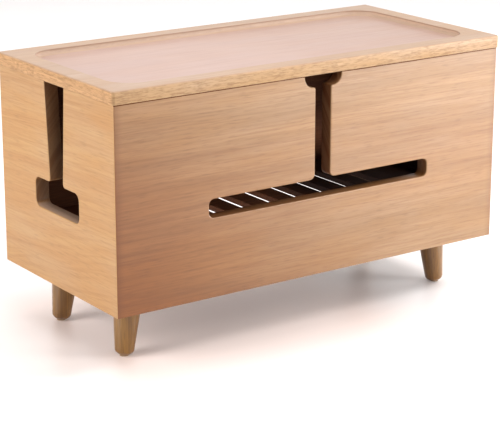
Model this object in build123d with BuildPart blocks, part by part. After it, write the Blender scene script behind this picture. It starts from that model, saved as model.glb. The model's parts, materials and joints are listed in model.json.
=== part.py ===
from build123d import *
import os
from math import cos, radians, sin

# Cable management box in solid beech: four mitred panels round a slotted floor,
# four splayed turned legs and a loose lid with a shallow tray cut into its top.
# Millimetres, +Z up. The origin is on the ground, under the middle of the box.
# The side with the T-shaped cable slot faces -Y.

# ---- driving dimensions -------------------------------------------------------------

# Carcass
BOX_LENGTH = 400.0
BOX_DEPTH = 190.0
WALL_HEIGHT = 176.0
PANEL_THICKNESS = 13.0
GROUND_CLEARANCE = 50.0
CORNER_EASE = 1.2
PANEL_ARRIS = 0.8

# Lid with its tray
LID_THICKNESS = 11.0
LID_OVERHANG = 1.2
LID_CORNER_RADIUS = 3.0
LID_TOP_ROUND = 1.5
LID_UNDER_EASE = 0.4
TRAY_MARGIN = 18.0
TRAY_DEPTH = 4.8
TRAY_CORNER_RADIUS = 24.0
TRAY_COVE = 4.2
TRAY_ARRIS = 0.4

# Blocks under the lid that keep it in place, and their screws
BLOCK_LENGTH = 30.0
BLOCK_WIDTH = 18.0
BLOCK_HEIGHT = 10.0
BLOCK_EASE = 1.5
LID_PLAY = 1.5
SCREW_SHANK_RADIUS = 1.5
SCREW_HEAD_RADIUS = 3.0
SCREW_HEAD_HEIGHT = 1.8
SCREW_BITE = 3.8
SCREW_DRIVE_RADIUS = 1.1
SCREW_DRIVE_DEPTH = 1.0
SCREW_PLAY = 0.1

# T-shaped cable slot with a finger notch, in the front panel
T_CENTRE_X = 5.0
T_SLOT_WIDTH = 16.2
T_SLOT_LENGTH = 232.0
T_SLOT_SILL = 69.0
T_END_RADIUS = 5.0
T_JUNCTION_RADIUS = 5.0
NOTCH_WIDTH = 38.5
NOTCH_DEPTH = 10.8
NOTCH_RADIUS = 9.2
NOTCH_LIP_RADIUS = 1.7

# Keyhole cable outlet, in each end panel
WINDOW_WIDTH = 73.0
WINDOW_HEIGHT = 25.7
WINDOW_SILL = 64.5
WINDOW_RADIUS = 6.0
NECK_LOW_WIDTH = 21.2
NECK_RIM_WIDTH = 32.8
NECK_JUNCTION_RADIUS = 3.5

# Relief along the lower edge of the back panel, under the floor
RELIEF_MARGIN = 22.0
RELIEF_HEIGHT = 28.0
RELIEF_RADIUS = 10.0

# Slotted floor, captured in a groove
FLOOR_THICKNESS = 5.0
FLOOR_TOP = 43.0
FLOOR_SLOT_PITCH = 29.4
FLOOR_SLOT_WIDTH = 11.7
FLOOR_SLOT_MARGIN = 20.0
GROOVE_DEPTH = 4.0
GROOVE_PLAY = 0.2
FLOOR_EDGE_PLAY = 0.5

# Splines hidden in the mitres
SPLINE_THICKNESS = 3.0
SPLINE_WIDTH = 9.0
SPLINE_PLAY = 0.1
SPLINE_STOP = 12.0

# Cross rails that carry the legs, and their dowels
RAIL_WIDTH = 44.0
RAIL_THICKNESS = 13.0
DOWEL_RADIUS = 3.0
DOWEL_LENGTH = 20.0
DOWEL_IN_PANEL = 8.0
DOWEL_SPACING = 24.0
DOWEL_HEIGHT = 8.0
DOWEL_PLAY = 0.1

# Turned legs, splayed outwards
LEG_INSET_X = 30.0
LEG_INSET_Y = 41.4
LEG_SPLAY_X = 6.3
LEG_SPLAY_Y = 2.0
LEG_TOP_RADIUS = 14.9
LEG_FOOT_RADIUS = 7.8
LEG_FOOT_ROUND = 4.0
LEG_SPARE = 4.0
PAD_RADIUS = 3.8
PAD_THICKNESS = 1.5

# Hanger bolts and the threaded inserts that they screw into
BOLT_RADIUS = 3.0
BOLT_IN_INSERT = 9.0
BOLT_IN_LEG = 24.0
BOLT_PLAY = 0.1
INSERT_RADIUS = 5.0
INSERT_LENGTH = 9.5
INSERT_SINK = 0.8
INSERT_PLAY = 0.1

# ---- places worked out from them ----------------------------------------------------

CARCASS_Z = GROUND_CLEARANCE
RIM_Z = CARCASS_Z + WALL_HEIGHT
LID_TOP_Z = RIM_Z + LID_THICKNESS
HALF_LENGTH = BOX_LENGTH / 2
HALF_DEPTH = BOX_DEPTH / 2
INNER_LENGTH = BOX_LENGTH - 2 * PANEL_THICKNESS
INNER_DEPTH = BOX_DEPTH - 2 * PANEL_THICKNESS
FLOOR_TOP_Z = CARCASS_Z + FLOOR_TOP
FLOOR_UNDER_Z = FLOOR_TOP_Z - FLOOR_THICKNESS
FLOOR_SLOT_LENGTH = INNER_DEPTH - 2 * FLOOR_SLOT_MARGIN
FLOOR_SLOT_ROOM = INNER_LENGTH - 2 * RAIL_WIDTH
FLOOR_SLOT_COUNT = int((FLOOR_SLOT_ROOM - FLOOR_SLOT_WIDTH) / FLOOR_SLOT_PITCH) + 1
RAIL_UNDER_Z = FLOOR_UNDER_Z - RAIL_THICKNESS
LEG_FOOT_X = HALF_LENGTH - LEG_INSET_X
LEG_FOOT_Y = HALF_DEPTH - LEG_INSET_Y
RAIL_X = (INNER_LENGTH - RAIL_WIDTH) / 2
DOWEL_Z = RAIL_UNDER_Z + DOWEL_HEIGHT
LID_LENGTH = BOX_LENGTH + 2 * LID_OVERHANG
LID_DEPTH = BOX_DEPTH + 2 * LID_OVERHANG
TRAY_LENGTH = LID_LENGTH - 2 * TRAY_MARGIN
TRAY_WIDTH = LID_DEPTH - 2 * TRAY_MARGIN
BLOCK_X = INNER_LENGTH / 2 - LID_PLAY - BLOCK_LENGTH / 2
BLOCK_Y = INNER_DEPTH / 2 - LID_PLAY - BLOCK_WIDTH / 2
BLOCK_UNDER_Z = RIM_Z - BLOCK_HEIGHT

# Cutting shapes run this far past the material, and edges this near a place are at it
OVERRUN = 5.0
NEARBY = 0.01

os.makedirs("parts", exist_ok=True)


def save(part, name):
    """Labels a finished piece and writes it as a STEP file of the same name."""
    part.label = name
    export_step(part, f"parts/{name}.step")


# ---- panels -------------------------------------------------------------------------


def wall_plan(facing):
    """Plan of one mitred panel, cut from the ring of the four; facing is (x, y), one of them 0."""
    along_x = facing[1] != 0
    near = facing[1] if along_x else facing[0]
    outer_x, outer_y = HALF_LENGTH + OVERRUN, HALF_DEPTH + OVERRUN
    inner_x, inner_y = INNER_LENGTH / 2, INNER_DEPTH / 2
    if along_x:
        wedge = [(-outer_x, near * outer_y), (outer_x, near * outer_y)]
        wedge += [(inner_x, near * inner_y), (-inner_x, near * inner_y)]
    else:
        wedge = [(near * outer_x, -outer_y), (near * outer_x, outer_y)]
        wedge += [(near * inner_x, inner_y), (near * inner_x, -inner_y)]
    with BuildSketch(Plane.XY.offset(CARCASS_Z)) as plan:
        RectangleRounded(BOX_LENGTH, BOX_DEPTH, CORNER_EASE)
        Rectangle(INNER_LENGTH, INNER_DEPTH, mode=Mode.SUBTRACT)
        Polygon(*wedge, align=None, mode=Mode.INTERSECT)
    return plan.sketch


def floor_groove():
    """Cuts the groove that holds the floor into the panel being built."""
    height = FLOOR_THICKNESS + GROOVE_PLAY
    with Locations((0, 0, FLOOR_UNDER_Z)):
        Box(
            INNER_LENGTH + 2 * GROOVE_DEPTH,
            INNER_DEPTH + 2 * GROOVE_DEPTH,
            height,
            align=(Align.CENTER, Align.CENTER, Align.MIN),
            mode=Mode.SUBTRACT,
        )


def spline_places():
    """The middle of each mitre at the splines' lower ends, turned square to the mitre."""
    x = HALF_LENGTH - PANEL_THICKNESS / 2
    y = HALF_DEPTH - PANEL_THICKNESS / 2
    z = CARCASS_Z + SPLINE_STOP
    corners = [(-x, -y, -45), (x, -y, 45), (x, y, -45), (-x, y, 45)]
    return [Location((cx, cy, z), (0, 0, turn)) for cx, cy, turn in corners]


def spline_grooves():
    """Cuts the stopped spline grooves at the mitres of the panel being built."""
    with Locations(spline_places()):
        Box(
            SPLINE_WIDTH + 2 * SPLINE_PLAY,
            SPLINE_THICKNESS + 2 * SPLINE_PLAY,
            WALL_HEIGHT - 2 * SPLINE_STOP,
            align=(Align.CENTER, Align.CENTER, Align.MIN),
            mode=Mode.SUBTRACT,
        )


def dowel_places():
    """Start and direction of each rail dowel: (x, side), at both rails and both ends."""
    offsets = (-DOWEL_SPACING / 2, DOWEL_SPACING / 2)
    return [(sx * RAIL_X + dx, sy) for sx in (-1, 1) for sy in (-1, 1) for dx in offsets]


def dowel_cylinders(play, mode=Mode.ADD):
    """Rail dowels, or their holes with the play and Mode.SUBTRACT, in the piece being built."""
    middle = INNER_DEPTH / 2 + DOWEL_IN_PANEL - DOWEL_LENGTH / 2
    for x, side in dowel_places():
        with Locations(Location((x, side * middle, DOWEL_Z), (90, 0, 0))):
            Cylinder(DOWEL_RADIUS + play, DOWEL_LENGTH + 2 * play, mode=mode)


def t_slot_outline():
    """The T-shaped slot and its finger notch on the front face, open through the rim."""
    slot_mid = CARCASS_Z + T_SLOT_SILL + T_SLOT_WIDTH / 2
    slot_top = slot_mid + T_SLOT_WIDTH / 2
    notch_low = RIM_Z - NOTCH_DEPTH
    with BuildSketch(Plane.XZ.offset(HALF_DEPTH)) as outline:
        with Locations((T_CENTRE_X, slot_mid)):
            RectangleRounded(T_SLOT_LENGTH, T_SLOT_WIDTH, T_END_RADIUS)
        with Locations((T_CENTRE_X, slot_mid)):
            Rectangle(T_SLOT_WIDTH, RIM_Z - slot_mid + OVERRUN, align=(Align.CENTER, Align.MIN))
        with Locations((T_CENTRE_X, RIM_Z)):
            RectangleRounded(NOTCH_WIDTH, 2 * NOTCH_DEPTH, NOTCH_RADIUS)
        for height, radius in ((slot_top, T_JUNCTION_RADIUS), (notch_low, NOTCH_LIP_RADIUS)):
            level = outline.vertices().filter_by(lambda v: abs(v.Y - height) < NEARBY)
            fillet(
                level.filter_by(lambda v: abs(abs(v.X - T_CENTRE_X) - T_SLOT_WIDTH / 2) < NEARBY),
                radius,
            )
    return outline.sketch


def keyhole_outline(plane):
    """The window and its neck, which widens up to the rim, on an end panel's face."""
    low = CARCASS_Z + WINDOW_SILL
    mid = low + WINDOW_HEIGHT / 2
    high = low + WINDOW_HEIGHT
    flare = (NECK_RIM_WIDTH - NECK_LOW_WIDTH) / 2 / (RIM_Z - high)
    neck_low = NECK_LOW_WIDTH / 2 - flare * (high - mid)
    neck_high = NECK_RIM_WIDTH / 2 + flare * OVERRUN
    top = RIM_Z + OVERRUN
    neck = [(-neck_low, mid), (neck_low, mid), (neck_high, top), (-neck_high, top)]
    with BuildSketch(plane) as outline:
        with Locations((0, mid)):
            RectangleRounded(WINDOW_WIDTH, WINDOW_HEIGHT, WINDOW_RADIUS)
        Polygon(*neck, align=None)
        on_head = outline.vertices().filter_by(lambda v: abs(v.Y - high) < NEARBY)
        corners = on_head.filter_by(lambda v: abs(abs(v.X) - NECK_LOW_WIDTH / 2) < NEARBY)
        fillet(corners, NECK_JUNCTION_RADIUS)
    return outline.sketch


def outer_arrises(panel, axis, end):
    """The rim's and the cut-out's edges on a panel's outer face, without its mitred ends."""
    on_face = panel.edges().group_by(axis)[end]
    reach = HALF_LENGTH if axis == Axis.Y else HALF_DEPTH
    inside = on_face.filter_by(
        lambda e: abs(e.center().X if axis == Axis.Y else e.center().Y) < reach - 2 * CORNER_EASE
    )
    return inside.filter_by(lambda e: e.center().Z > CARCASS_Z + NEARBY)


with BuildPart() as front_panel:
    extrude(wall_plan((0, -1)), amount=WALL_HEIGHT)
    extrude(t_slot_outline(), amount=PANEL_THICKNESS + OVERRUN, both=True, mode=Mode.SUBTRACT)
    chamfer(outer_arrises(front_panel.part, Axis.Y, 0), PANEL_ARRIS)
    floor_groove()
    spline_grooves()
    dowel_cylinders(DOWEL_PLAY, Mode.SUBTRACT)
save(front_panel.part, "front_panel")

with BuildPart() as back_panel:
    extrude(wall_plan((0, 1)), amount=WALL_HEIGHT)
    with BuildSketch(Plane.XZ.offset(-HALF_DEPTH)) as relief:
        with Locations((0, CARCASS_Z)):
            RectangleRounded(BOX_LENGTH - 2 * RELIEF_MARGIN, 2 * RELIEF_HEIGHT, RELIEF_RADIUS)
    extrude(amount=PANEL_THICKNESS + OVERRUN, both=True, mode=Mode.SUBTRACT)
    chamfer(outer_arrises(back_panel.part, Axis.Y, -1), PANEL_ARRIS)
    floor_groove()
    spline_grooves()
    dowel_cylinders(DOWEL_PLAY, Mode.SUBTRACT)
save(back_panel.part, "back_panel")

for end_name, side in (("left_panel", -1), ("right_panel", 1)):
    with BuildPart() as end_panel:
        extrude(wall_plan((side, 0)), amount=WALL_HEIGHT)
        keyhole = keyhole_outline(Plane.YZ.offset(side * HALF_LENGTH))
        extrude(keyhole, amount=PANEL_THICKNESS + OVERRUN, both=True, mode=Mode.SUBTRACT)
        face_end = 0 if side < 0 else -1
        chamfer(outer_arrises(end_panel.part, Axis.X, face_end), PANEL_ARRIS)
        floor_groove()
        spline_grooves()
    save(end_panel.part, end_name)

with BuildPart() as mitre_splines:
    with Locations(spline_places()):
        Box(
            SPLINE_WIDTH,
            SPLINE_THICKNESS,
            WALL_HEIGHT - 2 * SPLINE_STOP,
            align=(Align.CENTER, Align.CENTER, Align.MIN),
        )
save(mitre_splines.part, "mitre_splines")

# ---- lid ----------------------------------------------------------------------------


def block_places():
    """The middle of each locating block's upper face, against the lid."""
    return [(sx * BLOCK_X, sy * BLOCK_Y, RIM_Z) for sx in (-1, 1) for sy in (-1, 1)]


def screw_places():
    """Where each block's screw head lies flush with the block's lower face."""
    return [(x, y, BLOCK_UNDER_Z) for x, y, _ in block_places()]


def screw_profile(play):
    """Half section of a countersunk screw, head down, for revolving about its axis."""
    head = SCREW_HEAD_RADIUS + play
    shank = SCREW_SHANK_RADIUS + play
    length = BLOCK_HEIGHT + SCREW_BITE + play
    points = [(0, 0), (head, 0), (shank, SCREW_HEAD_HEIGHT), (shank, length), (0, length)]
    with BuildSketch(Plane.XZ) as profile:
        Polygon(*points, align=None)
    return profile.sketch


def screw_holes():
    """Cuts the countersunk screw holes into the piece being built."""
    with BuildPart(mode=Mode.PRIVATE) as cutter:
        revolve(screw_profile(SCREW_PLAY), axis=Axis.Z)
    with Locations(screw_places()):
        add(cutter.part, mode=Mode.SUBTRACT)


with BuildPart() as lid:
    with BuildSketch(Plane.XY.offset(RIM_Z)) as lid_plan:
        RectangleRounded(LID_LENGTH, LID_DEPTH, LID_CORNER_RADIUS)
    extrude(amount=LID_THICKNESS)
    chamfer(lid.faces().sort_by(Axis.Z)[0].edges(), LID_UNDER_EASE)
    fillet(lid.faces().sort_by(Axis.Z)[-1].edges(), LID_TOP_ROUND)
    with BuildSketch(Plane.XY.offset(LID_TOP_Z)) as tray_plan:
        RectangleRounded(TRAY_LENGTH, TRAY_WIDTH, TRAY_CORNER_RADIUS)
    extrude(amount=-TRAY_DEPTH, mode=Mode.SUBTRACT)
    level_faces = lid.faces().filter_by(Axis.Z)
    tray_floor = level_faces.filter_by(lambda f: abs(LID_TOP_Z - f.center().Z - TRAY_DEPTH) < NEARBY)
    fillet(tray_floor.edges(), TRAY_COVE)
    lid_top = lid.faces().sort_by(Axis.Z)[-1]
    chamfer(lid_top.inner_wires().edges(), TRAY_ARRIS)
    screw_holes()
save(lid.part, "lid")

with BuildPart() as locating_blocks:
    with Locations(block_places()):
        Box(BLOCK_LENGTH, BLOCK_WIDTH, BLOCK_HEIGHT, align=(Align.CENTER, Align.CENTER, Align.MAX))
    chamfer(locating_blocks.faces().group_by(Axis.Z)[0].edges(), BLOCK_EASE)
    screw_holes()
save(locating_blocks.part, "locating_blocks")

with BuildPart() as block_screws:
    with BuildPart(mode=Mode.PRIVATE) as block_screw:
        revolve(screw_profile(0), axis=Axis.Z)
        with BuildSketch():
            RegularPolygon(SCREW_DRIVE_RADIUS, 6)
        extrude(amount=SCREW_DRIVE_DEPTH, mode=Mode.SUBTRACT)
    with Locations(screw_places()):
        add(block_screw.part)
save(block_screws.part, "block_screws")

# ---- floor and leg rails ------------------------------------------------------------

with BuildPart() as floor_panel:
    tongue = 2 * (GROOVE_DEPTH - FLOOR_EDGE_PLAY)
    with BuildSketch(Plane.XY.offset(FLOOR_UNDER_Z)):
        Rectangle(INNER_LENGTH + tongue, INNER_DEPTH + tongue)
        with GridLocations(FLOOR_SLOT_PITCH, 0, FLOOR_SLOT_COUNT, 1):
            SlotOverall(FLOOR_SLOT_LENGTH, FLOOR_SLOT_WIDTH, rotation=90, mode=Mode.SUBTRACT)
    extrude(amount=FLOOR_THICKNESS)
save(floor_panel.part, "floor_panel")


def leg_axis(sx, sy):
    """Where a leg meets the ground and how it leans: its own Z runs up its axis."""
    return Location((sx * LEG_FOOT_X, sy * LEG_FOOT_Y, 0), (sy * LEG_SPLAY_Y, -sx * LEG_SPLAY_X, 0))


LEG_CORNERS = {
    "leg_front_left": (-1, -1),
    "leg_front_right": (1, -1),
    "leg_back_left": (-1, 1),
    "leg_back_right": (1, 1),
}
LEG_AXES = [leg_axis(sx, sy) for sx, sy in LEG_CORNERS.values()]
# Distance up a leg's own axis to the underside of its rail
LEG_SEAT = RAIL_UNDER_Z / cos(radians(LEG_SPLAY_X)) / cos(radians(LEG_SPLAY_Y))


def along_legs(radius, low, high, mode=Mode.ADD):
    """Cylinders on the four leg axes, between two distances from the rails' underside."""
    with Locations(LEG_AXES):
        with Locations((0, 0, LEG_SEAT + low)):
            align = (Align.CENTER, Align.CENTER, Align.MIN)
            Cylinder(radius, high - low, align=align, mode=mode)


for rail_name, side in (("left_leg_rail", -1), ("right_leg_rail", 1)):
    with BuildPart() as leg_rail:
        with Locations((side * RAIL_X, 0, RAIL_UNDER_Z)):
            align = (Align.CENTER, Align.CENTER, Align.MIN)
            Box(RAIL_WIDTH, INNER_DEPTH, RAIL_THICKNESS, align=align)
        insert_hole = INSERT_SINK + INSERT_LENGTH + INSERT_PLAY
        along_legs(INSERT_RADIUS + INSERT_PLAY, -BOLT_RADIUS, insert_hole, Mode.SUBTRACT)
        dowel_cylinders(DOWEL_PLAY, Mode.SUBTRACT)
    save(leg_rail.part, rail_name)

with BuildPart() as rail_dowels:
    dowel_cylinders(0)
save(rail_dowels.part, "rail_dowels")

# ---- legs ---------------------------------------------------------------------------

with BuildPart() as leg_inserts:
    along_legs(INSERT_RADIUS, INSERT_SINK, INSERT_SINK + INSERT_LENGTH)
    along_legs(BOLT_RADIUS + BOLT_PLAY, 0, INSERT_SINK + INSERT_LENGTH, Mode.SUBTRACT)
save(leg_inserts.part, "leg_inserts")

with BuildPart() as hanger_bolts:
    along_legs(BOLT_RADIUS, -BOLT_IN_LEG, BOLT_IN_INSERT)
save(hanger_bolts.part, "hanger_bolts")

LEG_TAPER = (LEG_TOP_RADIUS - LEG_FOOT_RADIUS) / LEG_SEAT
# The turned foot ends where its lean brings the flat end's high side to the pad
LEG_END = PAD_THICKNESS - PAD_RADIUS * sin(radians(LEG_SPLAY_X))

for leg_name, corner in LEG_CORNERS.items():
    with BuildPart() as leg:
        with BuildSketch(Plane.XZ) as half_section:
            with BuildLine():
                top = LEG_SEAT + LEG_SPARE
                Polyline(
                    (0, top),
                    (LEG_FOOT_RADIUS + LEG_TAPER * top, top),
                    (LEG_FOOT_RADIUS + LEG_TAPER * LEG_END, LEG_END),
                    (0, LEG_END),
                    close=True,
                )
            make_face()
            fillet(half_section.vertices().group_by(Axis.Y)[0].sort_by(Axis.X)[-1], LEG_FOOT_ROUND)
        turned = revolve(axis=Axis.Z, mode=Mode.PRIVATE)
        add(turned.moved(leg_axis(*corner)))
        # Both ends are sawn level, so that the leaning leg stands and seats flat
        with Locations((0, 0, PAD_THICKNESS)):
            align = (Align.CENTER, Align.CENTER, Align.MIN)
            height = RAIL_UNDER_Z - PAD_THICKNESS
            Box(BOX_LENGTH, BOX_DEPTH, height, align=align, mode=Mode.INTERSECT)
        along_legs(BOLT_RADIUS + BOLT_PLAY, -BOLT_IN_LEG - BOLT_PLAY, BOLT_RADIUS, Mode.SUBTRACT)
    save(leg.part, leg_name)

with BuildPart() as foot_pads:
    with GridLocations(2 * LEG_FOOT_X, 2 * LEG_FOOT_Y, 2, 2):
        Cylinder(PAD_RADIUS, PAD_THICKNESS, align=(Align.CENTER, Align.CENTER, Align.MIN))
save(foot_pads.part, "foot_pads")
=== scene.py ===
"""Looks of a beech cable management box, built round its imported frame.

Sizes are in millimetres in the classes and become metres when a mesh is made. The axes
are the frame's own: +X along the box, -Y out of the side with the T-shaped slot, +Z up,
and the origin on the ground under the middle of the box.
"""

from __future__ import annotations

import json
import logging
import math
from collections.abc import Iterable, Sequence
from dataclasses import dataclass, field
from enum import Enum

import bmesh
import bpy
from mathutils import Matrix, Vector

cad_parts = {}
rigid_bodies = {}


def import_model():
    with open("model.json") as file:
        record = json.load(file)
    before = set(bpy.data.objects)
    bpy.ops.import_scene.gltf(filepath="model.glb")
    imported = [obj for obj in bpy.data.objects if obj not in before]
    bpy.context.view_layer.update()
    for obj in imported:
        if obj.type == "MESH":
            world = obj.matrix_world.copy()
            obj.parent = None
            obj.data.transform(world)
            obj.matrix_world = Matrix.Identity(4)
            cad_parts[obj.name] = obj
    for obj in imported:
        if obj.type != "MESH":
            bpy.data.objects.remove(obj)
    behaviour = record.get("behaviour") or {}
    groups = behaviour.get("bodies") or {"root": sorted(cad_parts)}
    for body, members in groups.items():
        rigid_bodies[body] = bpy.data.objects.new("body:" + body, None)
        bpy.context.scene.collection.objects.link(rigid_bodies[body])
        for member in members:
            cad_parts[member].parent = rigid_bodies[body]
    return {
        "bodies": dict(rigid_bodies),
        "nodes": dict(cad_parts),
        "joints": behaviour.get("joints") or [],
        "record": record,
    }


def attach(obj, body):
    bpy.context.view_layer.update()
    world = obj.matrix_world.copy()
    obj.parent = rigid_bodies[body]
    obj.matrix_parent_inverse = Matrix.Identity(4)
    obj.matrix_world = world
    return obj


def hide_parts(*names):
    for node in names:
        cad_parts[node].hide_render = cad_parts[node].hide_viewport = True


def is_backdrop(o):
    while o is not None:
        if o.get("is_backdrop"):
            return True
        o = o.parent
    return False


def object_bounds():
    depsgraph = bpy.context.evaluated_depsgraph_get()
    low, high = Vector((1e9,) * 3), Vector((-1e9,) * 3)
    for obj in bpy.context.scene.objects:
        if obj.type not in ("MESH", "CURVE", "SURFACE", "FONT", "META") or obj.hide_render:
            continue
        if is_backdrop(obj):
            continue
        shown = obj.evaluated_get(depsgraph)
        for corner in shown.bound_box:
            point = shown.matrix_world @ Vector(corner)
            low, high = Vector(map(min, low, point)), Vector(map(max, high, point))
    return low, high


LOG = logging.getLogger("cable_box")
MM = 0.001
NEAR = 0.001  # in millimetres: points closer than this are one
Rgba = tuple[float, float, float, float]
Point2 = tuple[float, float]
Point3 = tuple[float, float, float]
Corners = list[Point3]
Material = bpy.types.Material
Mesh = bmesh.types.BMesh
Piece = bpy.types.Object
Socket = bpy.types.NodeSocket
Value = "Wave | float"


# ---- node trees ----------------------------------------------------------------------


def colour(red: int, green: int, blue: int) -> Rgba:
    """Turns a colour of the usual 0 to 255 scale into Blender's linear one.

    Args:
        red: Red, 0 to 255.
        green: Green, 0 to 255.
        blue: Blue, 0 to 255.

    Returns:
        The linear colour with full alpha.
    """
    linear = []
    for value in (red, green, blue):
        share = value / 255
        low = share <= 0.04045
        linear.append(share / 12.92 if low else ((share + 0.055) / 1.055) ** 2.4)
    return (*linear, 1.0)


class NodeSheet:
    """A node tree that is written node by node."""

    tree: bpy.types.NodeTree

    def add(
        self, kind: str, inputs: dict | None = None, **settings: object
    ) -> bpy.types.Node:
        """Adds a node.

        Args:
            kind: The node's type name.
            inputs: Input name or number to a value, a wave, a socket, or a list of
                sockets.
            **settings: Properties of the node itself.

        Returns:
            The new node.
        """
        node = self.tree.nodes.new(kind)
        for key, value in settings.items():
            setattr(node, key, value)
        for key, value in (inputs or {}).items():
            for source in value if isinstance(value, list) else [value]:
                source = source.socket if isinstance(source, Wave) else source
                if isinstance(source, Socket):
                    self.tree.links.new(source, node.inputs[key])
                else:
                    node.inputs[key].default_value = source
        return node

    def put(self, kind: str, inputs: dict | None = None, **settings: object) -> Socket:
        """Adds a node and gives its first output."""
        return self.add(kind, inputs, **settings).outputs[0]


class ShaderSheet(NodeSheet):
    """One material's node tree."""

    def __init__(self, name: str) -> None:
        """Starts an empty material.

        Args:
            name: The material's name.
        """
        self.material = bpy.data.materials.new(name)
        self.material.use_nodes = True
        self.tree = self.material.node_tree
        self.tree.nodes.clear()

    def math(self, operation: str, first: Value, second: Value = 0.0) -> Wave:
        """Adds a Math node and gives its result."""
        inputs = {0: first, 1: second}
        return Wave(self, self.put("ShaderNodeMath", inputs, operation=operation))

    def mix(
        self, share: Value, first: object, second: object, blend: str = "MIX"
    ) -> Socket:
        """Mixes two colours, or sockets that carry them.

        Args:
            share: How much of the second is taken.
            first: The first colour.
            second: The second colour.
            blend: The node's blend type.

        Returns:
            The mixed colour.
        """
        settings = {"data_type": "RGBA", "blend_type": blend}
        inputs = {0: share, 6: first, 7: second}
        return self.add("ShaderNodeMix", inputs, **settings).outputs[2]

    def vector(self, x: Value, y: Value, z: Value) -> Socket:
        """Joins three values into a vector."""
        return self.put("ShaderNodeCombineXYZ", {0: x, 1: y, 2: z})

    def noise(
        self, place: Socket, scale: float, detail: float = 2.0, rough: float = 0.5
    ) -> Wave:
        """Adds noise of about 0.3 to 0.7, with scale features in a unit of place."""
        inputs = {"Vector": place, "Scale": scale, "Detail": detail, "Roughness": rough}
        return Wave(self, self.put("ShaderNodeTexNoise", inputs, noise_dimensions="3D"))

    def parts(self, vector: Socket) -> list[Wave]:
        """Splits a vector into its three values."""
        split = self.add("ShaderNodeSeparateXYZ", {0: vector})
        return [Wave(self, part) for part in split.outputs]

    def position(self) -> list[Wave]:
        """Gives the three object coordinates, in millimetres."""
        inputs = {0: self.add("ShaderNodeTexCoord").outputs["Object"], "Scale": 1 / MM}
        return self.parts(self.put("ShaderNodeVectorMath", inputs, operation="SCALE"))

    def finish(self, surface: dict, bump: Wave, depth: float) -> Material:
        """Ends the tree in a Principled shader.

        Args:
            surface: The shader's inputs.
            bump: Height pattern, 0 to 1.
            depth: How deep the pattern is, in millimetres.

        Returns:
            The finished material.
        """
        inputs = {"Height": bump, "Distance": depth * MM, "Strength": 1.0}
        surface = {**surface, "Normal": self.put("ShaderNodeBump", inputs)}
        shader = self.put("ShaderNodeBsdfPrincipled", surface)
        self.add("ShaderNodeOutputMaterial", {"Surface": shader})
        return self.material


@dataclass(frozen=True)
class Wave:
    """A value of a node tree, with which sums and products can be written.

    Attributes:
        sheet: The tree.
        socket: What carries the value.
    """

    sheet: ShaderSheet
    socket: Socket

    def __add__(self, other: Value) -> Wave:
        """Adds a value."""
        return self.sheet.math("ADD", self, other)

    def __sub__(self, other: Value) -> Wave:
        """Takes a value off."""
        return self.sheet.math("SUBTRACT", self, other)

    def __rsub__(self, other: Value) -> Wave:
        """Takes this off a value."""
        return self.sheet.math("SUBTRACT", other, self)

    def __mul__(self, other: Value) -> Wave:
        """Multiplies by a value."""
        return self.sheet.math("MULTIPLY", self, other)

    def __abs__(self) -> Wave:
        """Drops the sign."""
        return self.sheet.math("ABSOLUTE", self)

    def span(self, low: float, high: float, top: float = 1.0) -> Wave:
        """Maps the value smoothly from low..high to 0..top.

        Args:
            low: What gives 0. It may be above high.
            high: What gives top.
            top: The highest result.

        Returns:
            The result.
        """
        ends = {"Value": self, "From Min": low, "From Max": high, "To Max": top}
        settings = {"interpolation_type": "SMOOTHSTEP"}
        return Wave(self.sheet, self.sheet.put("ShaderNodeMapRange", ends, **settings))


# ---- finishes ------------------------------------------------------------------------


class Grain(Enum):
    """Which way a board's fibres run. The value is the index of that axis."""

    LENGTH = 0
    DEPTH = 1
    HEIGHT = 2


@dataclass(frozen=True)
class Pattern:
    """A noise pattern that is drawn out along a board.

    Attributes:
        along: Features in a millimetre along the board.
        across: Features in a millimetre across it, or from ring to ring.
        detail: Octaves of finer noise.
        rough: How strong the finer octaves are.
        seen: The noise at which it begins to show, and at which it shows in full.
        up: Features in a millimetre of height, where it differs from across.
    """

    along: float
    across: float
    detail: float = 2.0
    rough: float = 0.5
    seen: Point2 = (0.0, 1.0)
    up: float | None = None


STRAY = Pattern(0.006, 0.012)
WIDE_BANDS = Pattern(0.004, 0.16, 3.0, 0.6, (0.36, 0.66))
THIN_LINES = Pattern(0.009, 0.75, 2.0, 0.7, (0.47, 0.68))
FIBRES = Pattern(0.014, 0.55, 4.0, 0.7, (0.42, 0.72))
FLECKS = Pattern(0.07, 0.8, 1.0, seen=(0.52, 0.74))
CLOUDS = Pattern(0.007, 0.021, 1.0, seen=(0.3, 0.7))
TINGES = Pattern(0.009, 0.035, seen=(0.38, 0.62))
PORES = Pattern(0.0, 1.9, 2.0, 0.7, (0.5, 0.7))
SPECKS = Pattern(0.15, 0.15, 2.0, 0.6, (0.4, 0.68), up=0.85)
STAINED_FIBRES = Pattern(0.05, 0.9, 3.0, 0.65, (0.42, 0.72))


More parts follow.
